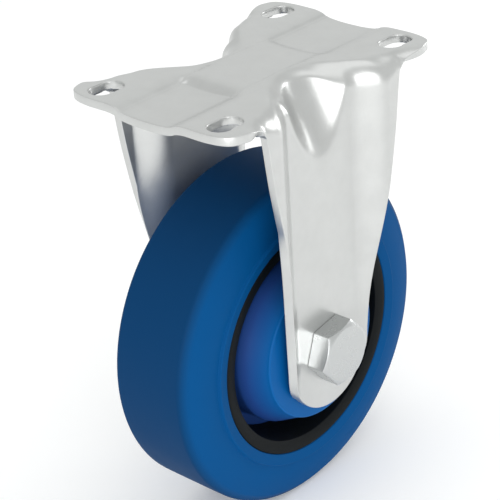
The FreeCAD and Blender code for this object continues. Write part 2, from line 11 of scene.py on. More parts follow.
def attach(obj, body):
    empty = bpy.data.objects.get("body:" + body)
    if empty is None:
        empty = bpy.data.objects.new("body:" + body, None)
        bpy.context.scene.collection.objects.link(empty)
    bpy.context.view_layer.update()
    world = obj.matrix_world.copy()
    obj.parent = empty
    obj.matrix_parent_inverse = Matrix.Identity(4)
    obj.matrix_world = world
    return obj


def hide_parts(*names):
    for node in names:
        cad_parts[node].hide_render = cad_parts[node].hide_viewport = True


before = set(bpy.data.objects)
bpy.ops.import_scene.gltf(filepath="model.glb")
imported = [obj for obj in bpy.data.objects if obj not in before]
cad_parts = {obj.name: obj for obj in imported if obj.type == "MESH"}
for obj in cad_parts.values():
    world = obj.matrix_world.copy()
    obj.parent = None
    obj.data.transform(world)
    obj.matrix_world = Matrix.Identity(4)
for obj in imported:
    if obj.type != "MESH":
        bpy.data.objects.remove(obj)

bl_info = {
    "name": "Fixed castor looks",
    "version": (1, 0, 0),
    "blender": (4, 5, 0),
    "location": "View3D > Sidebar > Castor",
    "description": "Builds the visible surfaces of a fixed castor on its CAD frame",
    "category": "Object",
}

MM = 0.001
# sizes in millimetres that more than one piece or function uses
AXLE = Vector((0.0, 0.0, -80.0))
FLOOR = -130.0
SLOT_X = 34.5
SLOT_Y = 21.25
SLOT_STRAIGHT = 1.8
SLOT_RADIUS = 3.4
BORE_RADIUS = 5.25
# radius of the rounded rim at the sheet's edge, at its slots and at the axle's holes
EDGE_RIM = 0.22
SLOT_RIM = 0.42
BORE_RIM = 0.3
# hexagon of bolt and nut: width over its flats, radius where its chamfer starts, and how far
# it is turned, in degrees
HEX_FLATS = 17.0
HEX_CHAMFER = 8.1
HEX_TURN = 10.5
BOLT_RADIUS = 4.97
BOLT_POINT = 3.9


# shapes of the pressed sheet, in millimetres


def ease(value, low, high):
    """Smooth step from 0 at low to 1 at high."""
    part = min(max((value - low) / (high - low), 0.0), 1.0)
    return part * part * (3 - 2 * part)


class Press:
    """Outer face of the folded sheet. A place on it is x and the way v along the section:
    v up to TOP is the flat plate, up to TOP + BEND the bend, and beyond that the leg."""

    # distance of the legs' panel from the middle plane, and how far the flanges stand proud
    PANEL = 22.7
    STEP = 5.8
    # ends of the plate and of the bend along v, the bend's radius at the ears, the leg's length
    TOP = 24.0
    BEND = 10.0
    RADIUS = 4.5
    BOTTOM = 100.4
    # round end of the leg, and the leg's edge above it as (half width, depth)
    END_RADIUS = 15.4
    END_Z = 83.0
    LEG_EDGE = ((27.15, 5.3), (26.9, 7.0), (26.6, 8.8), (26.0, 13.7), (25.15, 20.0),
                (24.3, 25.0), (23.35, 30.0), (22.05, 36.5), (20.75, 43.0), (18.75, 53.5),
                (17.3, 62.0), (16.2, 70.5), (15.5, 80.0))
    # trough in the upper corner of the leg: where its floor starts, how it leans out with
    # depth and how it rises to both sides
    TROUGH_START = 13.2
    TROUGH_TOP = 2.3
    TROUGH_LEAN = 0.495
    TROUGH_RISE = 0.053
    TROUGH_POWER = 2.05
    # sunken field at each end of the plate: the crease round its dish, and the wall beyond
    FIELD_START = 18.2
    FIELD_HALF = 8.7
    FIELD_CORNER = 1.2
    FIELD_DEPTH = 1.85
    FIELD_WALL = 6.3

    def flange(self, x):
        """0 on the leg's recessed panel and 1 on the flange beside it."""
        return ease(abs(x), 12.5, 22.5)

    def leg_face(self, x, depth):
        """Distance out: panel and flanges, with a slanted trough pressed into the upper corner."""
        face = self.PANEL + self.STEP * self.flange(x)
        trough = self.TROUGH_START + self.TROUGH_LEAN * (depth - self.TROUGH_TOP)
        trough += self.TROUGH_RISE * abs(x) ** self.TROUGH_POWER
        return 0.5 * (face + trough - math.hypot(face - trough, 1.0))

    def bend_start(self, x):
        """Width of the flat plate up to where the sheet turns down."""
        return 9.5 + 12.0 * ease(abs(x), 6.0, 21.0) + 2.5 * ease(abs(x), 21.0, 27.5)

    def bend_depth(self, x):
        """Depth at which the bend ends and the leg starts."""
        inboard = 2.5 * (1 - ease(abs(x), 21.0, 27.5))
        return self.RADIUS + inboard - 4.6 * (1 - ease(abs(x), 5.0, 15.0))

    def field(self, x, y):
        """Depth of the sunken field at the end of the plate: a shallow dish inside a crease,
        and a wall beyond it that flattens towards the plate."""
        along = self.FIELD_START + self.FIELD_CORNER - abs(x)
        across = y - self.FIELD_HALF + self.FIELD_CORNER
        if along > 0 and across > 0:
            out = math.hypot(along, across) - self.FIELD_CORNER
        else:
            out = max(along, across) - self.FIELD_CORNER
        out = 0.5 * (out + math.hypot(out, 0.25))
        floor = self.FIELD_DEPTH * (1 - 0.28 * min(1.0, y / self.FIELD_HALF) ** 2.5)
        line = 0.12 * max(0.0, 1 - ((y - 9.6) / 0.6) ** 2)
        return floor * max(0.0, 1 - out / self.FIELD_WALL) ** 2.4 + line

    def point(self, x, v):
        """Place of the outer face; beyond the fork's shoulders the ears turn down and flatten."""
        if v <= self.TOP:
            y = self.bend_start(x) * v / self.TOP
            return Vector((x, y, -self.field(x, y)))
        if v <= self.TOP + self.BEND:
            angle = (v - self.TOP) / self.BEND * math.pi / 2
            firm = (1 - min(1.0, max(0.0, (abs(x) - 27.6) / 9.4))) ** 2
            if firm < 1:
                radius = self.RADIUS / max(firm, 1e-4)
                past = angle * self.RADIUS
                return Vector((x, self.TOP + radius * math.sin(past / radius),
                               -radius * (1 - math.cos(past / radius))))
            start = self.bend_start(x)
            depth = self.bend_depth(x) * (1 - math.cos(angle))
            return Vector((x, start + (self.leg_face(x, depth) - start) * math.sin(angle), -depth))
        part = (v - self.TOP - self.BEND) / (self.BOTTOM - self.RADIUS)
        depth = self.bend_depth(x) + (self.BOTTOM - self.bend_depth(x)) * part
        return Vector((x, self.leg_face(x, depth), -depth))

    def normal(self, x, v):
        """Direction out of the sheet; straight up over the whole plate, fields included."""
        if v <= self.TOP - 1e-6:
            return Vector((0.0, 0.0, 1.0))
        step = 0.15
        along = self.point(x, v + step) - self.point(x, max(v - step, self.TOP + 1e-6))
        across = self.point(x + step, v) - self.point(x - step, v)
        out = across.cross(along)
        if out.y + out.z < 0:
            out = -out
        return out.normalized()

    def leg_v(self, x, z):
        """v of the place on the leg that lies at height z."""
        depth = self.bend_depth(x)
        part = (-z - depth) / (self.BOTTOM - depth)
        return self.TOP + self.BEND + part * (self.BOTTOM - self.RADIUS)


PRESS = Press()


def leg_place(x, z):
    """Place on the +Y leg at height z."""
    return x, PRESS.leg_v(x, z)


def past_bend(x, length):
    """Place on an ear, by the length of sheet beyond the bend's start."""
    return x, PRESS.TOP + PRESS.BEND * length / (PRESS.RADIUS * math.pi / 2)


def flowing(points, step):
    """Points about one step apart on the smooth curve through the given ones."""
    line = []
    for number in range(len(points) - 1):
        before = points[max(number - 1, 0)]
        start, end = points[number], points[number + 1]
        after = points[min(number + 2, len(points) - 1)]
        count = max(1, round(math.dist(start, end) / step))
        for share in (part / count for part in range(count)):
            place = []
            for axis in (0, 1):
                a, b, c, d = before[axis], start[axis], end[axis], after[axis]
                square = (2 * a - 5 * b + 4 * c - d) * share ** 2
                cube = (3 * b - a - 3 * c + d) * share ** 3
                place.append(0.5 * (2 * b + (c - a) * share + square + cube))
            line.append(tuple(place))
    return line + [points[-1]]


def quarter_outline():
    """Sheet's edge from the middle of the +X end, round the ear and down the leg."""
    ear = [(41.9, 0.0), (41.9, 6.0), (41.95, 10.0), (42.1, 16.0), (42.15, 20.0), (41.9, 23.0)]
    ear += [past_bend(x, length) for x, length in (
        (41.2, 2.0), (40.3, 3.8), (39.0, 4.8), (37.6, 5.3), (36.4, 5.65), (35.0, 5.85),
        (33.5, 5.85), (32.4, 5.75), (31.0, 5.5), (29.8, 5.35), (28.8, 5.6), (28.0, 6.2),
        (27.5, 7.0))]
    line = flowing(ear + [leg_place(x, -depth) for x, depth in PRESS.LEG_EDGE], 0.45)
    first = math.radians(3.0)
    for number in range(33):
        angle = first + (math.pi / 2 - first) * number / 32
        line.append(leg_place(PRESS.END_RADIUS * math.cos(angle),
                              -PRESS.END_Z - PRESS.END_RADIUS * math.sin(angle)))
    return line


def sheet_outline():
    """Whole edge of the unfolded sheet, turning one way; the -Y side has negative v."""
    quarter = quarter_outline()
    whole = quarter[:-1]
    whole += [(-x, v) for x, v in reversed(quarter)][:-1]
    whole += [(-x, -v) for x, v in quarter[1:-1]]
    whole += [(x, -v) for x, v in reversed(quarter)][:-1]
    return whole


def slot_outline(x, y):
    """Edge of a plate slot, clockwise."""
    line = []
    for end, start in ((1, 90), (-1, -90)):
        for number in range(17):
            angle = math.radians(start - 180 * number / 16)
            place_x = x + end * SLOT_STRAIGHT + SLOT_RADIUS * math.cos(angle)
            place_y = abs(y + SLOT_RADIUS * math.sin(angle))
            if place_y > PRESS.TOP:
                place_y = past_bend(place_x, place_y - PRESS.TOP)[1]
            line.append((place_x, math.copysign(place_y, y)))
    return line


def bore_outline(side):
    """Edge of the axle's hole in the leg on one side."""
    line = []
    for number in range(48):
        angle = 2 * math.pi * number / 48
        x = BORE_RADIUS * math.cos(angle)
        z = AXLE.z + side * BORE_RADIUS * math.sin(angle)
        line.append((x, side * leg_place(x, z)[1]))
    return line


def inside_sheet(points, loops):
    """Which points lie inside the first loop and outside the others, by crossings."""
    spots = np.array(points)
    inside = np.zeros(len(spots), dtype=bool)
    for loop in loops:
        ends = np.array(loop)
        starts = np.roll(ends, 1, axis=0)
        for (x0, y0), (x1, y1) in zip(starts, ends):
            if y0 == y1:
                continue
            over = (spots[:, 1] > min(y0, y1)) & (spots[:, 1] <= max(y0, y1))
            reach = x0 + (spots[:, 1] - y0) * (x1 - x0) / (y1 - y0)
            inside ^= over & (spots[:, 0] < reach)
    return inside


def clear_of(points, loops, gap):
    """Which points are farther than a gap from every corner of the loops."""
    spots = np.array(points)
    keep = np.ones(len(spots), dtype=bool)
    for loop in loops:
        for x, y in loop:
            near = (abs(spots[:, 0] - x) < gap) & (abs(spots[:, 1] - y) < gap)
            keep &= ~near
    return keep


def ranged(low, high, step):
    """Numbers from low up to high, without high, about a step apart."""
    count = max(1, round((high - low) / step))
    return [low + (high - low) * number / count for number in range(count)]


def sheet_points():
    """Places for the mesh's corners, closer together where the sheet bends; the small shift
    keeps them off the lines of the outlines."""
    rows = ranged(0.0, 7.0, 0.7) + ranged(7.0, 12.0, 0.25) + ranged(12.0, PRESS.TOP, 0.6)
    rows += ranged(PRESS.TOP, PRESS.TOP + PRESS.BEND, 0.35)
    rows += ranged(PRESS.TOP + PRESS.BEND, 60.0, 0.6) + ranged(60.0, 132.0, 1.8)
    rows = [-row for row in reversed(rows[1:])] + rows
    columns = ranged(0.0, 12.0, 0.6) + ranged(12.0, 20.5, 0.35) + ranged(20.5, 42.5, 0.55)
    columns = [-column for column in reversed(columns[1:])] + columns
    return [(x + 0.001, v + 0.001) for v in rows for x in columns]


def pressed_sheet_mesh(thickness):
    """Folded sheet: its flat pattern is cut into triangles, laid on the pressed shape, given
    its thickness and closed with rounded rims. No operator bends a sheet this way."""
    loops = [sheet_outline()]
    loops += [slot_outline(x, y) for x in (SLOT_X, -SLOT_X) for y in (SLOT_Y, -SLOT_Y)]
    loops += [bore_outline(1), bore_outline(-1)]
    rims = [EDGE_RIM] + [SLOT_RIM] * 4 + [BORE_RIM] * 2
    inner = sheet_points()
    inside = inside_sheet(inner, loops)
    clear = clear_of(inner, loops, 0.32)
    flat = []
    edges = []
    for loop in loops:
        first = len(flat)
        flat += loop
        edges += [(first + n, first + (n + 1) % len(loop)) for n in range(len(loop))]
    flat += [point for point, a, b in zip(inner, inside, clear) if a and b]
    spots, _, faces, sources, _, _ = geometry.delaunay_2d_cdt(
        [Vector(point) for point in flat], edges, [], 0, 1e-6)
    if len(spots) != len(flat):
        raise RuntimeError(f"the sheet's outline crosses itself: {len(spots)} for {len(flat)}")
    middles = [sum((spots[n] for n in face), Vector((0, 0))) / 3 for face in faces]
    kept = inside_sheet([tuple(m) for m in middles], loops)
    faces = [face for face, keep in zip(faces, kept) if keep]

    def raised(x, v):
        side = -1 if v < 0 else 1
        place = PRESS.point(x, abs(v))
        normal = PRESS.normal(x, abs(v))
        return (Vector((place.x, place.y * side, place.z)),
                Vector((normal.x, normal.y * side, normal.z)))

    outer = [raised(spot.x, spot.y) for spot in spots]
    order = {}
    for number, origins in enumerate(sources):
        for origin in origins:
            order[origin] = number
    mesh = bmesh.new()
    above = [mesh.verts.new(place * MM) for place, _ in outer]
    below = [mesh.verts.new((place - normal * thickness) * MM) for place, normal in outer]
    for a, b, c in faces:
        mesh.faces.new((above[a], above[b], above[c]))
        mesh.faces.new((below[c], below[b], below[a]))
    turns = [math.pi / 2 * n / 4 for n in range(5)]
    first = 0
    for loop, radius in zip(loops, rims):
        ring = [order[first + n] for n in range(len(loop))]
        first += len(loop)
        strips = []
        for number, spot in enumerate(ring):
            place, normal = outer[spot]
            along = outer[ring[(number + 1) % len(ring)]][0] - outer[ring[number - 1]][0]
            away = along.cross(normal).normalized()
            strip = [above[spot]]
            above[spot].co = (place - away * radius) * MM
            for turn in turns[1:]:
                strip.append(mesh.verts.new((place - away * radius * (1 - math.sin(turn))
                                             - normal * radius * (1 - math.cos(turn))) * MM))
            base = place - normal * thickness
            for turn in reversed(turns[1:]):
                strip.append(mesh.verts.new((base - away * radius * (1 - math.sin(turn))
                                             + normal * radius * (1 - math.cos(turn))) * MM))
            below[spot].co = (base - away * radius) * MM
            strip.append(below[spot])
            strips.append(strip)
        for number in range(len(strips)):
            here, there = strips[number], strips[(number + 1) % len(strips)]
            for row in range(len(here) - 1):
                mesh.faces.new((here[row], here[row + 1], there[row + 1], there[row]))
    bmesh.ops.recalc_face_normals(mesh, faces=mesh.faces)
    return mesh


# turned pieces and hexagons


def rounded(corners, count=6):
    """Closed profile of (radius, height) places, each corner (radius, height, fillet) rounded."""
    line = []
    for number, (x, y, fillet) in enumerate(corners):
        here = Vector((x, y))
        if not fillet:
            line.append(here)
            continue
        before = Vector(corners[number - 1][:2]) - here
        after = Vector(corners[(number + 1) % len(corners)][:2]) - here
        half = before.angle(after) / 2
        run = min(fillet / math.tan(half), before.length * 0.49, after.length * 0.49)
        start = here + before.normalized() * run
        end = here + after.normalized() * run
        for share in (part / count for part in range(count + 1)):
            line.append(start * (1 - share) ** 2 + here * (2 * share * (1 - share))
                        + end * share ** 2)
    return line


def both_sides(half):
    """A profile that is the same on both sides of the wheel's middle, from its +Y half."""
    return half + [(x, -y, fillet) for x, y, fillet in reversed(half)]


def turned(profile, steps=256):
    """Mesh of a closed profile spun round the axle."""
    mesh = bmesh.new()
    spots = [mesh.verts.new((AXLE + Vector((p.x, p.y, 0.0))) * MM) for p in profile]
    edges = [mesh.edges.new((a, b)) for a, b in zip(spots, spots[1:] + spots[:1])]
    bmesh.ops.spin(mesh, geom=spots + edges, cent=AXLE * MM, axis=(0, 1, 0),
                   angle=2 * math.pi, steps=steps, use_merge=True)
    bmesh.ops.recalc_face_normals(mesh, faces=mesh.faces)
    return mesh


def hex_radius(angle, rounding=0.45):
    """Distance from the axis to the side of a hexagon with slightly rounded corners."""
    off = abs((angle - math.radians(HEX_TURN) + math.pi / 6) % (math.pi / 3) - math.pi / 6)
    centre = (HEX_FLATS / 2 - rounding) / math.cos(math.pi / 6)
    limit = math.atan2(rounding / 2, centre + rounding * math.cos(math.pi / 6))
    if off < limit:
        return centre * math.cos(off) + math.sqrt(rounding ** 2 - (centre * math.sin(off)) ** 2)
    return HEX_FLATS / 2 / math.cos(math.pi / 6 - off)


def hex_angles():
    """Angles round a hexagon, closer together at its corners."""
    angles = []
    for corner in range(6):
        middle = math.radians(HEX_TURN + 60 * corner)
        angles += [middle + math.radians(off) for off in
                   (-30, -24, -18, -12, -7, -4, -2.4, -1.2, 0, 1.2, 2.4, 4, 7, 12, 18, 24)]
    return angles


def stacked(rings, side, close=False):
    """Mesh through rings of (radius, distance from the middle plane) pairs, one for each
    angle; a ring of radius 0 is a single point."""
    mesh = bmesh.new()
    angles = hex_angles()
    made = []
    for ring in rings:
        if ring[0][0] == 0.0:
            made.append([mesh.verts.new((AXLE + Vector((0, side * ring[0][1], 0))) * MM)])
            continue
        made.append([mesh.verts.new((AXLE + Vector((r * math.cos(angle), side * h,
                                                    r * math.sin(angle)))) * MM)
                     for angle, (r, h) in zip(angles, ring)])
    pairs = list(zip(made, made[1:])) + ([(made[-1], made[0])] if close else [])
    for low, high in pairs:
        for number in range(len(angles)):
            after = (number + 1) % len(angles)
            corners = [low[number % len(low)], low[after % len(low)],
                       high[after % len(high)], high[number % len(high)]]
            corners = [c for n, c in enumerate(corners) if c not in corners[:n]]
            mesh.faces.new(corners)
    bmesh.ops.recalc_face_normals(mesh, faces=mesh.faces)
    return mesh


def plain_ring(radius, place):
    """Round ring, with as many places as a hexagon's ring has."""
    return [(radius, place)] * len(hex_angles())


def hex_ring(place, shrink=0.0, chamfer=0.0, way=1):
    """Ring on a hexagon's sides; with a chamfer radius it dips where the sides stand out."""
    ring = []
    for angle in hex_angles():
        radius = hex_radius(angle)
        dip = max(0.0, radius - chamfer) * math.tan(math.radians(30)) if chamfer else 0.0
        ring.append((radius - shrink, place - way * dip))
    return ring


def thread_ring(place, end, depth=0.92, pitch=1.5):
    """Ring of a screw thread, with a chamfer at the bolt's end."""
    ring = []
    for angle in hex_angles():
        turn = (place / pitch - angle / (2 * math.pi)) % 1.0
        slope = min(1.0, max(0.0, abs(turn - 0.5) * 2.6 - 0.15))
        radius = BOLT_RADIUS - depth * (1 - slope)
        ring.append((min(radius, BOLT_POINT + (end - place)), place))
    return ring


def bolt_mesh(height, length):
    """Hexagon bolt, head on the -Y side; the threaded end comes out on the +Y side."""
    face = PRESS.PANEL
    top = face + height
    rings = [plain_ring(0.0, top), plain_ring(7.75, top), plain_ring(8.0, top - 0.05)]
    rings += [hex_ring(top, 0.12, HEX_CHAMFER), hex_ring(top - 0.12, 0.0, HEX_CHAMFER)]
    rings += [hex_ring(face + 0.2), hex_ring(face, 0.2)]
    # the thread shows from 2 mm outside the far leg, in rings 0.14 mm apart
    start = face + 2
    end = length - face
    rings += [plain_ring(BOLT_RADIUS, face), plain_ring(BOLT_RADIUS, -start)]
    count = round((end - start) / 0.14) + 1
    span = [start + (end - start) * number / count for number in range(1, count)]
    rings += [[(r, -h) for r, h in thread_ring(place, end)] for place in span]
    rings += [plain_ring(BOLT_POINT, -end), plain_ring(0.0, -end)]
    return stacked(rings, -1)


def nut_mesh():
    """Lock nut: hexagon chamfered on both faces, and a collar rolled over the insert."""
    face = PRESS.PANEL
    rings = [plain_ring(5.02, face), plain_ring(7.6, face)]
    rings += [hex_ring(face, 0.0, HEX_CHAMFER, -1)]
    rings += [hex_ring(face + 7.0, 0.0, HEX_CHAMFER), plain_ring(8.0, face + 7.0)]
    for radius, place in ((7.95, 7.3), (7.9, 8.6), (7.7, 9.2), (7.25, 9.7), (6.7, 9.93),
                          (6.3, 10.0), (6.2, 9.9), (6.2, 9.35), (6.8, 9.3), (6.8, 6.6),
                          (5.02, 6.6)):
        rings.append(plain_ring(radius, face + place))
    return stacked(rings, 1, close=True)


def bulged(start, end, rise, count=10):
    """Corners along a shallow arc from start to end that rises to the side of larger width."""
    line = []
    for number in range(count + 1):
        share = number / count
        line.append((start[0] + (end[0] - start[0]) * share,
                     start[1] + (end[1] - start[1]) * share + 4 * rise * share * (1 - share), 0))
    return line


# materials


def linear(code):
    """Linear colour of an sRGB hex value."""
    levels = [int(code[n:n + 2], 16) / 255 for n in (0, 2, 4)]
    return (*(level / 12.92 if level <= 0.04045 else ((level + 0.055) / 1.055) ** 2.4
              for level in levels), 1.0)


def scale(size):
    """Scale of a noise whose patches are about size millimetres wide."""
    return 1 / (size * MM)


def feed(tree, node, links):
    """Links outputs to a node's sockets, given by name, or by number where names repeat."""
    for socket, source in links.items():
        tree.links.new(source, node.inputs[socket])


def add(tree, kind, settings=None, links=None):
    """Adds a node with its own settings, the constants on its sockets and its links."""
    node = tree.nodes.new(kind)
    for name, value in (settings or {}).items():
        if isinstance(name, int) or name in node.inputs:
            node.inputs[name].default_value = value
        else:
            setattr(node, name, value)
    feed(tree, node, links or {})
    return node


def surface(name, colour, roughness, metallic=0.0, gloss=0.5):
    """New material with its shader; returns both and the object coordinates in metres."""
    material = bpy.data.materials.new(name)
    material.use_nodes = True
    tree = material.node_tree
    shader = tree.nodes["Principled BSDF"]
    shader.inputs["Base Color"].default_value = colour
    shader.inputs["Roughness"].default_value = roughness
    shader.inputs["Metallic"].default_value = metallic
    shader.inputs["Specular IOR Level"].default_value = gloss
    place = add(tree, "ShaderNodeTexCoord").outputs["Object"]
    return material, tree, shader, place


def shade(colour, factor):
    """The colour made lighter or darker by a factor."""
    return tuple(min(1.0, part * factor) for part in colour[:3]) + (1.0,)


def ramp_across(tree, place, start, end):
    """0 near the wheel's middle plane and 1 beyond, by the distance along its axle."""
    across = add(tree, "ShaderNodeSeparateXYZ", links={"Vector": place}).outputs["Y"]
    away = add(tree, "ShaderNodeMath", {"operation": "ABSOLUTE"}, {0: across}).outputs[0]
    return add(tree, "ShaderNodeMapRange", {"From Min": start * MM, "From Max": end * MM},
               {"Value": away}).outputs[0]


def zinc_sheet(colour):
    # cold-rolled steel, electroplated with bright zinc and clear passivated: a satin grey
    # with soft clouds about 6 mm wide, and a drawn grain; the real grain of 0.1 mm is drawn
    # 0.7 mm wide so that it shows
    material, tree, shader, place = surface("satin_zinc_plated_sheet", colour, 0.3, 0.8)
    clouds = add(tree, "ShaderNodeTexNoise",
                 {"Scale": scale(6.25), "Detail": 4.0, "Roughness": 0.6},
                 {"Vector": place}).outputs["Fac"]
    grain = add(tree, "ShaderNodeTexNoise", {"Scale": scale(0.714), "Detail": 3.0},
                {"Vector": place}).outputs["Fac"]
    share = add(tree, "ShaderNodeMapRange", {"To Min": -0.1, "To Max": 1.1}, {"Value": clouds})
    tint = add(tree, "ShaderNodeMix",
               {"data_type": "RGBA", 6: shade(colour, 0.93), 7: shade(colour, 1.06)},
               {0: share.outputs[0]})
    rough = add(tree, "ShaderNodeMapRange", {"To Min": 0.25, "To Max": 0.36},
                {"Value": clouds})
    bump = add(tree, "ShaderNodeBump", {"Strength": 0.09, "Distance": 0.2 * MM},
               {"Height": grain})
    feed(tree, shader, {"Base Color": tint.outputs[2], "Roughness": rough.outputs[0],
                        "Normal": bump.outputs["Normal"]})
    return material


def zinc_fastener(colour):
    # cold-headed steel, barrel plated with zinc: smoother and brighter than the sheet, with
    # faint tumbling marks about 3 mm wide
    material, tree, shader, place = surface("bright_zinc_plated_steel", colour, 0.26, 0.9)
    marks = add(tree, "ShaderNodeTexNoise", {"Scale": scale(3.33), "Detail": 2.0},
                {"Vector": place}).outputs["Fac"]
    rough = add(tree, "ShaderNodeMapRange", {"To Min": 0.24, "To Max": 0.32},
                {"Value": marks})
    bump = add(tree, "ShaderNodeBump", {"Strength": 0.012, "Distance": 0.2 * MM},
               {"Height": marks})
    feed(tree, shader, {"Roughness": rough.outputs[0], "Normal": bump.outputs["Normal"]})
    return material


def blue_rubber(colour, painted_tread_shade):
    # moulded elastic solid rubber: matt blue, a skin with a fine texture of about 0.3 mm;
    # the tread, within 12 mm of the wheel's middle, is painted a darker blue than the sides as
    # painted shade, since it faces away from the light
    material, tree, shader, place = surface("moulded_blue_rubber", colour, 0.65, 0.0, 0.06)
    clouds = add(tree, "ShaderNodeTexNoise", {"Scale": scale(11.1), "Detail": 3.0},
                 {"Vector": place}).outputs["Fac"]
    skin = add(tree, "ShaderNodeTexNoise", {"Scale": scale(0.3125), "Detail": 2.0},
               {"Vector": place}).outputs["Fac"]
    share = add(tree, "ShaderNodeMapRange", {"To Min": 0.2, "To Max": 0.8},
                {"Value": clouds})
    side = add(tree, "ShaderNodeMix",
               {"data_type": "RGBA", 6: shade(colour, 0.94), 7: shade(colour, 1.06)},
               {0: share.outputs[0]})
    # painted shade: the tread takes the darker tread colour, as it faces away from the light
    tint = add(tree, "ShaderNodeMix", {"data_type": "RGBA", 6: painted_tread_shade},
               {0: ramp_across(tree, place, 11.5, 13.5), 7: side.outputs[2]})
    rough = add(tree, "ShaderNodeMapRange", {"To Min": 0.52, "To Max": 0.66},
                {"Value": clouds})
    bump = add(tree, "ShaderNodeBump", {"Strength": 0.08, "Distance": 0.1 * MM},
               {"Height": skin})
    feed(tree, shader, {"Base Color": tint.outputs[2], "Roughness": rough.outputs[0],
                        "Normal": bump.outputs["Normal"]})
    return material


def moulded_plastic(name, colour, roughness, gloss=0.2, painted_recess_shade=None):
    # injection-moulded polyamide: a slightly glossy even colour with a faint tool texture of
    # about 0.6 mm; where a shade colour is given, a darker blue takes over within 13 mm of the
    # wheel's middle as painted shade in the recess and on the hub's side
    material, tree, shader, place = surface(name, colour, roughness, 0.0, gloss)
    if painted_recess_shade:
        # painted shade: darker blue near the middle plane, for the shade in the recess round the
        # web
        tint = add(tree, "ShaderNodeMix", {"data_type": "RGBA", 6: painted_recess_shade, 7: colour},
                   {0: ramp_across(tree, place, 13.0, 19.0)})
        feed(tree, shader, {"Base Color": tint.outputs[2]})
    grains = add(tree, "ShaderNodeTexNoise", {"Scale": scale(0.556), "Detail": 2.0},
                 {"Vector": place}).outputs["Fac"]
    rough = add(tree, "ShaderNodeMapRange",
                {"To Min": roughness - 0.06, "To Max": roughness + 0.06}, {"Value": grains})
    bump = add(tree, "ShaderNodeBump", {"Strength": 0.05, "Distance": 0.1 * MM},
               {"Height": grains})
    feed(tree, shader, {"Roughness": rough.outputs[0], "Normal": bump.outputs["Normal"]})
    return material


def ground_steel(name, colour, roughness):
    # hardened bearing steel, ground and honed: bright; the real marks of a few hundredths of
    # a millimetre are drawn 0.4 mm wide so that they show
    material, tree, shader, place = surface(name, colour, roughness, 1.0)
    marks = add(tree, "ShaderNodeTexNoise", {"Scale": scale(0.385), "Detail": 2.0},
                {"Vector": place}).outputs["Fac"]
    rough = add(tree, "ShaderNodeMapRange",
                {"To Min": roughness - 0.05, "To Max": roughness + 0.07}, {"Value": marks})
    feed(tree, shader, {"Roughness": rough.outputs[0]})
    return material


# the add-on: values, one operator for each group of pieces, and the panel


def length_value(name, description, default):
    """Length property, in metres as Blender keeps it; the default is given in millimetres."""
    return bpy.props.FloatProperty(name=name, description=description, default=default * MM,
                                   min=0.0, unit="LENGTH", precision=5)


def colour_value(name, description, code):
    return bpy.props.FloatVectorProperty(name=name, description=description, subtype="COLOR",
                                         size=4, min=0.0, max=1.0, default=linear(code))


class CastorSizes(bpy.types.PropertyGroup):
    sheet_thickness: length_value("Sheet thickness", "Thickness of the pressed sheet", 2.5)
    wheel_radius: length_value("Wheel radius", "Radius of the tread", 50.0)
    wheel_width: length_value("Wheel width", "Width over the tyre's beads", 32.0)
    tread_half: length_value("Tread half width", "Half the flat width of the tread", 11.4)
    bead_radius: length_value("Bead radius", "Outside radius of the tyre's bead", 38.0)
    band_outer: length_value("Band outer radius", "Outside radius of the black band", 34.5)
    band_inner: length_value("Band inner radius", "Inside radius of the black band", 30.7)
    hub_radius: length_value("Hub radius", "Radius of the hub at its face", 22.1)
    hub_half: length_value("Hub half length", "Half the length of the hub", 19.7)
    head_height: length_value("Bolt head height", "Height of the bolt's head", 6.4)
    bolt_length: length_value("Bolt length", "Length of the bolt below its head", 60.0)


class CastorColours(bpy.types.PropertyGroup):
    sheet: colour_value("Sheet", "Zinc plating on the pressed sheet", "c8c9c8")
    fastener: colour_value("Fasteners", "Zinc plating on bolt and nut", "c2c4c4")
    tyre: colour_value("Tyre", "Blue of the rubber tyre", "00487f")
    # the tread colour is a darker blue painted as shade on the tread, which faces away from the
    # light
    tread: colour_value("Tread", "Duller blue of the tread", "043660")
    centre: colour_value("Wheel centre", "Blue of the plastic wheel centre", "005596")
    # painted shade: a darker blue for the shade in the recess round the web and on the hub's side
    recess: colour_value("Wheel recess", "Deeper blue around the web", "1d3f80")
    band: colour_value("Band", "Black of the band and the seals", "0a0e10")
    insert: colour_value("Insert", "Plastic ring in the lock nut", "e4e2d8")
    bearing: colour_value("Bearings", "Ground steel of the bearings", "c4c6c8")
    cage: colour_value("Cages", "Plastic of the ball cages", "b8a888")
    floor: colour_value("Floor", "Floor under the castor", "fafafa")


def finished(mesh, name, material, body, nodes, sharp=35.0):
    """Puts a piece into the scene with its material, CAD body and the nodes it stands for."""
    data = bpy.data.meshes.new(name)
    mesh.to_mesh(data)
    mesh.free()
    data.shade_smooth()
    data.set_sharp_from_angle(angle=math.radians(sharp))
    data.materials.append(material)
    piece = bpy.data.objects.new(name, data)
    bpy.context.scene.collection.objects.link(piece)
    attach(piece, body)
    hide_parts(*nodes)


def coat(nodes, material):
    """Gives CAD nodes a finish of their own."""
    for name in nodes:
        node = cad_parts[name]
        node.data.materials.clear()
        node.data.materials.append(material)


class CASTOR_OT_fork(bpy.types.Operator):
    """Fork and mounting plate, pressed from one sheet"""

    bl_idname = "castor.fork"
    bl_label = "Fork"

    def execute(self, context):
        colours = context.scene.castor_colours
        mesh = pressed_sheet_mesh(context.scene.castor_sizes.sheet_thickness / MM)
        finished(mesh, "pressed_fork", zinc_sheet(colours.sheet), "fork",
                 ["fork_bracket"], 40.0)
        return {"FINISHED"}


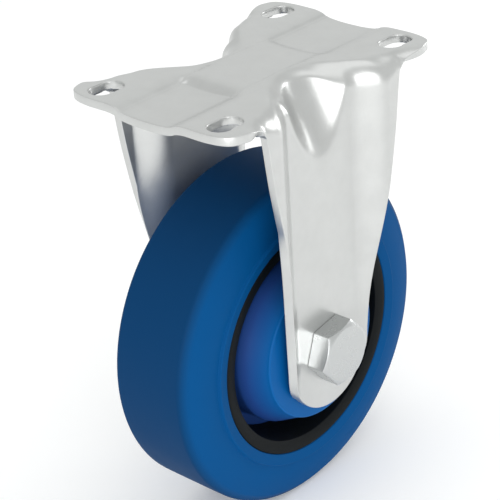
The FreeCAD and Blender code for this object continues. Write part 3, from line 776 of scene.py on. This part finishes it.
class CASTOR_OT_wheel(bpy.types.Operator):
    """Rubber tyre, black band and plastic wheel centre"""

    bl_idname = "castor.wheel"
    bl_label = "Wheel"

    def execute(self, context):
        sizes = context.scene.castor_sizes
        colours = context.scene.castor_colours
        radius, half, tread = (value / MM for value in (
            sizes.wheel_radius, sizes.wheel_width / 2, sizes.tread_half))
        bead, outer, inner = (value / MM for value in (
            sizes.bead_radius, sizes.band_outer, sizes.band_inner))
        hub, hub_half = sizes.hub_radius / MM, sizes.hub_half / MM
        # from the flat tread over its shoulder and down the side to the bead
        side = [(radius, tread - 5.0, 0), (radius - 0.05, tread, 1.4),
                (radius - 2.2, half - 2.7, 1.6)]
        side += bulged((radius - 3.4, half - 2.35), (bead + 0.5, half - 0.95), 0.35)
        side += [(bead, half - 0.9, 0.25), (bead - 0.35, half, 0.35),
                 (outer + 0.1, half - 0.6, 0.3), (outer, half - 1.0, 0)]
        finished(turned(rounded(both_sides(side))), "rubber_tyre",
                 blue_rubber(colours.tyre, colours.tread), "wheel", ["tyre"])

        ring = [(outer, half - 1.2, 0), (outer - 0.15, half - 0.75, 0.2)]
        ring += bulged((outer - 0.6, half - 0.65), (inner + 0.5, half - 1.1), 0.12, 6)
        ring += [(inner, half - 1.3, 0.35), (inner - 0.5, 6.0, 0.8), (inner - 1.3, 3.3, 0.3),
                 (inner - 0.4, 3.3, 0)]
        finished(turned(rounded(both_sides(ring))), "black_rim_band",
                 moulded_plastic("moulded_black_polyamide", colours.band, 0.55, 0.12),
                 "wheel", ["rim_band"])

        # the web, the hub on it, and a lip round the bolt that hides the bearing
        root = hub + 3.9
        centre = [(inner - 0.45, 3.2, 0), (root + 0.2, 3.2, 0.8), (root, 11.0, 2.5),
                  (hub, hub_half - 1.2, 0.0), (hub - 0.05, hub_half, 1.2),
                  (14.0, hub_half, 0.3), (14.0, hub_half - 0.55, 0), (17.5, hub_half - 0.55, 0),
                  (17.5, 8.0, 0), (15.5, 8.0, 0)]
        finished(turned(rounded(both_sides(centre))), "blue_wheel_centre",
                 moulded_plastic("moulded_blue_polyamide", colours.centre, 0.5, 0.12,
                                 colours.recess),
                 "wheel", ["wheel_centre"])
        return {"FINISHED"}


class CASTOR_OT_fasteners(bpy.types.Operator):
    """Hexagon bolt through the fork, and lock nut with a plastic insert"""

    bl_idname = "castor.fasteners"
    bl_label = "Bolt and nut"

    def execute(self, context):
        sizes = context.scene.castor_sizes
        colours = context.scene.castor_colours
        zinc = zinc_fastener(colours.fastener)
        finished(bolt_mesh(sizes.head_height / MM, sizes.bolt_length / MM), "hexagon_bolt", zinc,
                 "fork", ["axle_bolt"])
        finished(nut_mesh(), "hexagon_lock_nut", zinc, "fork", ["lock_nut"])
        face = PRESS.PANEL
        ring = [(6.78, face + 9.28, 0), (5.3, face + 9.28, 0.3), (5.0, face + 8.9, 0.2),
                (5.0, face + 6.65, 0), (6.78, face + 6.65, 0)]
        finished(turned(rounded(ring), 128), "plastic_nut_insert",
                 moulded_plastic("moulded_white_polyamide", colours.insert, 0.45),
                 "fork", ["nut_insert"])
        coat(["axle_tube"], zinc)
        return {"FINISHED"}


class CASTOR_OT_bearings(bpy.types.Operator):
    """Finishes of the two ball bearings, which keep their CAD shapes"""

    bl_idname = "castor.bearings"
    bl_label = "Bearings"

    def execute(self, context):
        colours = context.scene.castor_colours
        steel = ground_steel("ground_bearing_steel", colours.bearing, 0.22)
        balls = ground_steel("polished_ball_steel", colours.bearing, 0.12)
        rubber = moulded_plastic("moulded_black_seal_rubber", colours.band, 0.55)
        cage = moulded_plastic("moulded_natural_polyamide", colours.cage, 0.4)
        for side in ("head_side", "nut_side"):
            coat([f"{side}_outer_ring", f"{side}_inner_ring"], steel)
            coat([f"{side}_ball_{n}" for n in range(1, 9)], balls)
            coat([f"{side}_outer_seal", f"{side}_inner_seal"], rubber)
            coat([f"{side}_cage"], cage)
        return {"FINISHED"}


def soft_light(name, place, target, width, height, power):
    """Soft box of a width and height in metres, turned to its target."""
    light = bpy.data.lights.new(name, "AREA")
    light.shape = "RECTANGLE"
    light.size, light.size_y, light.energy = width, height, power
    lamp = bpy.data.objects.new(name, light)
    lamp.location = place
    lamp.rotation_euler = (Vector(target) - Vector(place)).to_track_quat("-Z", "Y").to_euler()
    bpy.context.scene.collection.objects.link(lamp)


class CASTOR_OT_stage(bpy.types.Operator):
    """Pale floor, soft studio light and the camera"""

    bl_idname = "castor.stage"
    bl_label = "Floor, light and camera"

    def execute(self, context):
        scene = context.scene
        mesh = bmesh.new()
        bmesh.ops.create_grid(mesh, x_segments=2, y_segments=2, size=1.5,
                              matrix=Matrix.Translation((0, 0, FLOOR * MM)))
        data = bpy.data.meshes.new("floor")
        mesh.to_mesh(data)
        mesh.free()
        # white paper lit from below as on a light table, so it hardly takes a shadow
        material, _, shader, _ = surface("white_lit_paper", scene.castor_colours.floor, 0.9)
        shader.inputs["Emission Color"].default_value = (1.0, 1.0, 1.0, 1.0)
        shader.inputs["Emission Strength"].default_value = 0.12
        data.materials.append(material)
        floor = bpy.data.objects.new("floor", data)
        scene.collection.objects.link(floor)

        world = bpy.data.worlds.new("pale_studio")
        world.use_nodes = True
        back = world.node_tree.nodes["Background"]
        back.inputs["Color"].default_value = (0.985, 1.0, 0.99, 1.0)
        back.inputs["Strength"].default_value = 0.78
        scene.world = world
        soft_light("softbox_right", (0.70, -0.2, 0.12), (0, 0, -0.03), 0.3, 0.3, 1.1)
        soft_light("softbox_front", (-0.45, -0.75, 0.12), (0, 0, -0.05), 0.4, 0.5, 1.8)
        soft_light("softbox_behind", (0.55, 0.5, 0.4), (0, 0, 0), 0.5, 0.5, 0.12)
        soft_light("softbox_left", (-0.68, -0.32, -0.02), (0, 0, -0.05), 0.4, 0.2, 1.7)
        soft_light("softbox_above", (0.0, -0.1, 0.9), (0, 0, -0.05), 0.9, 0.9, 1.5)

        camera = bpy.data.cameras.new("camera")
        camera.sensor_width = 36.0
        camera.lens = 134.05
        camera.clip_start = 0.01
        eye = bpy.data.objects.new("camera", camera)
        # fitted to the photograph's edges of plate, legs and wheel, whose radius is 50 mm
        eye.matrix_world = Matrix(((0.6648, 0.3738, -0.6468, -0.3427),
                                   (-0.7450, 0.2664, -0.6117, -0.3185),
                                   (-0.0564, 0.8885, 0.4555, 0.1834), (0, 0, 0, 1)))
        scene.collection.objects.link(eye)
        scene.camera = eye
        scene.view_settings.view_transform = "Standard"
        return {"FINISHED"}


class CASTOR_PT_looks(bpy.types.Panel):
    """Pieces, sizes and colours of the castor"""

    bl_idname = "CASTOR_PT_looks"
    bl_label = "Fixed castor"
    bl_space_type = "VIEW_3D"
    bl_region_type = "UI"
    bl_category = "Castor"

    def draw(self, context):
        for operator in OPERATORS:
            self.layout.operator(operator.bl_idname)
        for group in (context.scene.castor_sizes, context.scene.castor_colours):
            column = self.layout.column(align=True)
            for name in group.bl_rna.properties.keys():
                if name not in ("rna_type", "name"):
                    column.prop(group, name)


OPERATORS = (CASTOR_OT_fork, CASTOR_OT_wheel, CASTOR_OT_fasteners, CASTOR_OT_bearings,
             CASTOR_OT_stage)
CLASSES = (CastorSizes, CastorColours) + OPERATORS + (CASTOR_PT_looks,)


def register():
    for made in CLASSES:
        bpy.utils.register_class(made)
    bpy.types.Scene.castor_sizes = bpy.props.PointerProperty(type=CastorSizes)
    bpy.types.Scene.castor_colours = bpy.props.PointerProperty(type=CastorColours)


def unregister():
    del bpy.types.Scene.castor_colours
    del bpy.types.Scene.castor_sizes
    for made in reversed(CLASSES):
        bpy.utils.unregister_class(made)


def main():
    register()
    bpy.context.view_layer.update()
    bpy.ops.castor.fork()
    bpy.ops.castor.wheel()
    bpy.ops.castor.fasteners()
    bpy.ops.castor.bearings()
    bpy.ops.castor.stage()


if __name__ == "__main__":
    main()
